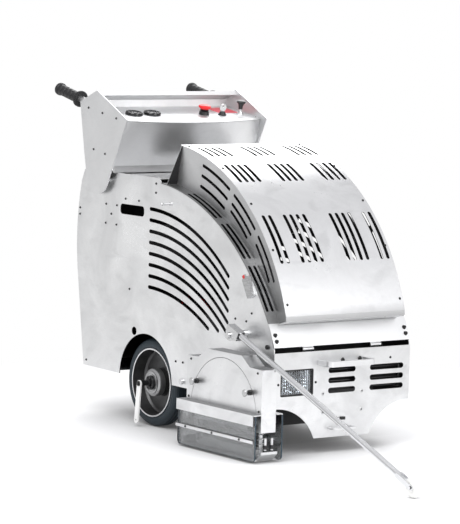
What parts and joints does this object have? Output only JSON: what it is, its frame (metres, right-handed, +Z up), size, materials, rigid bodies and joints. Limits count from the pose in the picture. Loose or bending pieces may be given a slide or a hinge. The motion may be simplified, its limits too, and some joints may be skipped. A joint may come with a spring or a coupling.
{
  "type": "walk-behind concrete saw",
  "caption": "Walk-behind concrete saw with a vented tilting hood, sloping dash, side-mounted guarded blade, sprung skid plate, rear wheels and a folding front pointer.",
  "frame": {"origin": "on the floor, at the centre of the whole footprint: midway between the grips' rear ends and the pointer wheel's front, and midway between the blade guard's outer face and the left grip", "axes": "+X forward, the way the saw cuts; +Y to the operator's left, so the blade guard is on -Y; +Z up"},
  "size_m": [1.9882, 0.6784, 1.0719],
  "materials": {
    "bright_sheet": "bare bright sheet, lightly brushed",
    "black_steel": "black powder coat",
    "zinc_fastener": "bright zinc",
    "grip_rubber": "matte, ribbed",
    "black_plastic": "moulded, satin",
    "chrome": "polished",
    "red_plastic": "gloss",
    "cast_metal": "as cast and machined",
    "belt_rubber": "toothed belt",
    "clear_plastic": "clear polycarbonate",
    "blade_steel": "ground",
    "rim_metal": "turned and pressed",
    "tyre_rubber": "dark slate rubber",
    "white_paint": "white gloss",
    "white_nylon": "white nylon"
  },
  "bodies": {
    "chassis": {"side_panel_right": "bright_sheet", "side_panel_left": "bright_sheet", "front_panel": "bright_sheet", "rear_panel": "bright_sheet", "top_deck": "bright_sheet", "chassis_frame": "black_steel", "console_side_plates": "bright_sheet", "dash_panel": "bright_sheet", "console_front_sheet": "bright_sheet", "console_back_panel": "bright_sheet", "handle_tubes": "bright_sheet", "grips": "grip_rubber", "gauges": "black_plastic", "emergency_stop_base": "black_plastic", "key_switch": "black_plastic", "throttle_bush": "chrome", "legend_plate": "red_plastic", "transaxle": "cast_metal", "engine_block": "cast_metal", "engine_ancillaries": "black_plastic", "fuel_tank": "black_plastic", "drive_belt": "belt_rubber", "oil_cooler": "cast_metal", "headlight_housing": "black_steel", "headlight_lens": "clear_plastic", "front_handle": "bright_sheet", "tow_loop": "bright_sheet", "pointer_pivot_bolt": "zinc_fastener", "panel_fasteners": "zinc_fastener", "guard_housing": "bright_sheet", "guard_outer_plate": "bright_sheet", "skirt_rails": "bright_sheet", "clear_skirts": "clear_plastic", "clamp_strips": "bright_sheet"},
    "hood": {"hood_base_band": "bright_sheet", "hood_skin": "bright_sheet", "hood_frame": "bright_sheet", "hood_screws": "zinc_fastener"},
    "latch": {"hood_latch": "bright_sheet"},
    "rear_wheel_right": {"rear_rim_right": "rim_metal", "rear_tyre_right": "tyre_rubber"},
    "rear_wheel_left": {"rear_rim_left": "rim_metal", "rear_tyre_left": "tyre_rubber"},
    "lever": {"hub_lever": "white_paint"},
    "front_axle": {"lift_axle": "cast_metal"},
    "front_wheel_right": {"front_wheel_right": "tyre_rubber"},
    "front_wheel_left": {"front_wheel_left": "tyre_rubber"},
    "blade": {"saw_blade": "blade_steel", "arbor_shaft": "cast_metal"},
    "crank": {"crankshaft_pulley": "cast_metal"},
    "skid": {"skid_plate": "bright_sheet", "skid_springs": "zinc_fastener"},
    "cover": {"blade_cover": "bright_sheet", "cover_thumb_screws": "zinc_fastener"},
    "pointer": {"pointer_channel": "bright_sheet", "pointer_rod": "zinc_fastener"},
    "pointer_wheel": {"pointer_wheel": "white_nylon"},
    "stop_button": {"emergency_stop_button": "red_plastic"},
    "key": {"ignition_key": "chrome"},
    "throttle": {"throttle_knob": "black_plastic"}
  },
  "joints": [
    {"name": "hood_hinge", "type": "hinge", "parent": "chassis", "child": "hood", "pos_m": [0.2288, 0.04825, 0.322], "axis": [0, 1, 0], "range_deg": [0, 75]},
    {"name": "latch_turn", "type": "hinge", "parent": "chassis", "child": "latch", "pos_m": [0.11998, -0.21975, 0.48363], "axis": [0, -1, 0], "range_deg": [0, 40], "stiffness_Nm_per_rad": 1},
    {"name": "rear_wheel_right_spin", "type": "hinge", "parent": "chassis", "child": "rear_wheel_right", "pos_m": [-0.4332, -0.17175, 0.14], "axis": [0, 1, 0], "continuous": true},
    {"name": "rear_wheel_left_spin", "type": "hinge", "parent": "chassis", "child": "rear_wheel_left", "pos_m": [-0.4332, 0.26825, 0.14], "axis": [0, 1, 0], "continuous": true},
    {"name": "hub_lever_turn", "type": "hinge", "parent": "chassis", "child": "lever", "pos_m": [-0.4332, -0.24575, 0.14], "axis": [0, 1, 0], "range_deg": [-30, 30], "stiffness_Nm_per_rad": 6},
    {"name": "front_axle_lift", "type": "slide", "parent": "chassis", "child": "front_axle", "axis": [0, 0, 1], "range_m": [0, 0.05], "stiffness_N_per_m": 200000},
    {"name": "front_wheel_right_spin", "type": "hinge", "parent": "front_axle", "child": "front_wheel_right", "pos_m": [-0.1782, 0.02025, 0.05], "axis": [0, 1, 0], "continuous": true},
    {"name": "front_wheel_left_spin", "type": "hinge", "parent": "front_axle", "child": "front_wheel_left", "pos_m": [-0.1782, 0.07625, 0.05], "axis": [0, 1, 0], "continuous": true},
    {"name": "blade_spin", "type": "hinge", "parent": "chassis", "child": "blade", "pos_m": [0.1068, -0.27975, 0.146], "axis": [0, 1, 0], "continuous": true},
    {"name": "crank_spin", "type": "hinge", "parent": "chassis", "child": "crank", "pos_m": [-0.1332, -0.17775, 0.33], "axis": [0, 1, 0], "continuous": true},
    {"name": "skid_lift", "type": "slide", "parent": "chassis", "child": "skid", "axis": [0, 0, 1], "range_m": [0, 0.064], "stiffness_N_per_m": 1500, "deforming": ["skid_springs"]},
    {"name": "cover_removal", "type": "slide", "parent": "chassis", "child": "cover", "axis": [0, -1, 0], "range_m": [0, 0.05]},
    {"name": "pointer_swing", "type": "hinge", "parent": "chassis", "child": "pointer", "pos_m": [0.0838, -0.25875, 0.355], "axis": [0, -1, 0], "range_deg": [0, 156.5]},
    {"name": "pointer_wheel_spin", "type": "hinge", "parent": "pointer", "child": "pointer_wheel", "pos_m": [0.96408, -0.25875, 0.03], "axis": [0, 1, 0], "continuous": true},
    {"name": "emergency_stop_push", "type": "slide", "parent": "chassis", "child": "stop_button", "axis": [-0.1564, 0, -0.9877], "range_m": [0, 0.006], "stiffness_N_per_m": 800},
    {"name": "key_turn", "type": "hinge", "parent": "chassis", "child": "key", "pos_m": [-0.6572, 0.21125, 0.97835], "axis": [0.1564, 0, 0.9877], "range_deg": [0, 90]},
    {"name": "throttle_pull", "type": "slide", "parent": "chassis", "child": "throttle", "axis": [0.1564, 0, 0.9877], "range_m": [0, 0.04]}
  ],
  "couplings": [
    {"joint": "crank_spin", "follows": "blade_spin", "ratio": 0.68539}
  ]
}
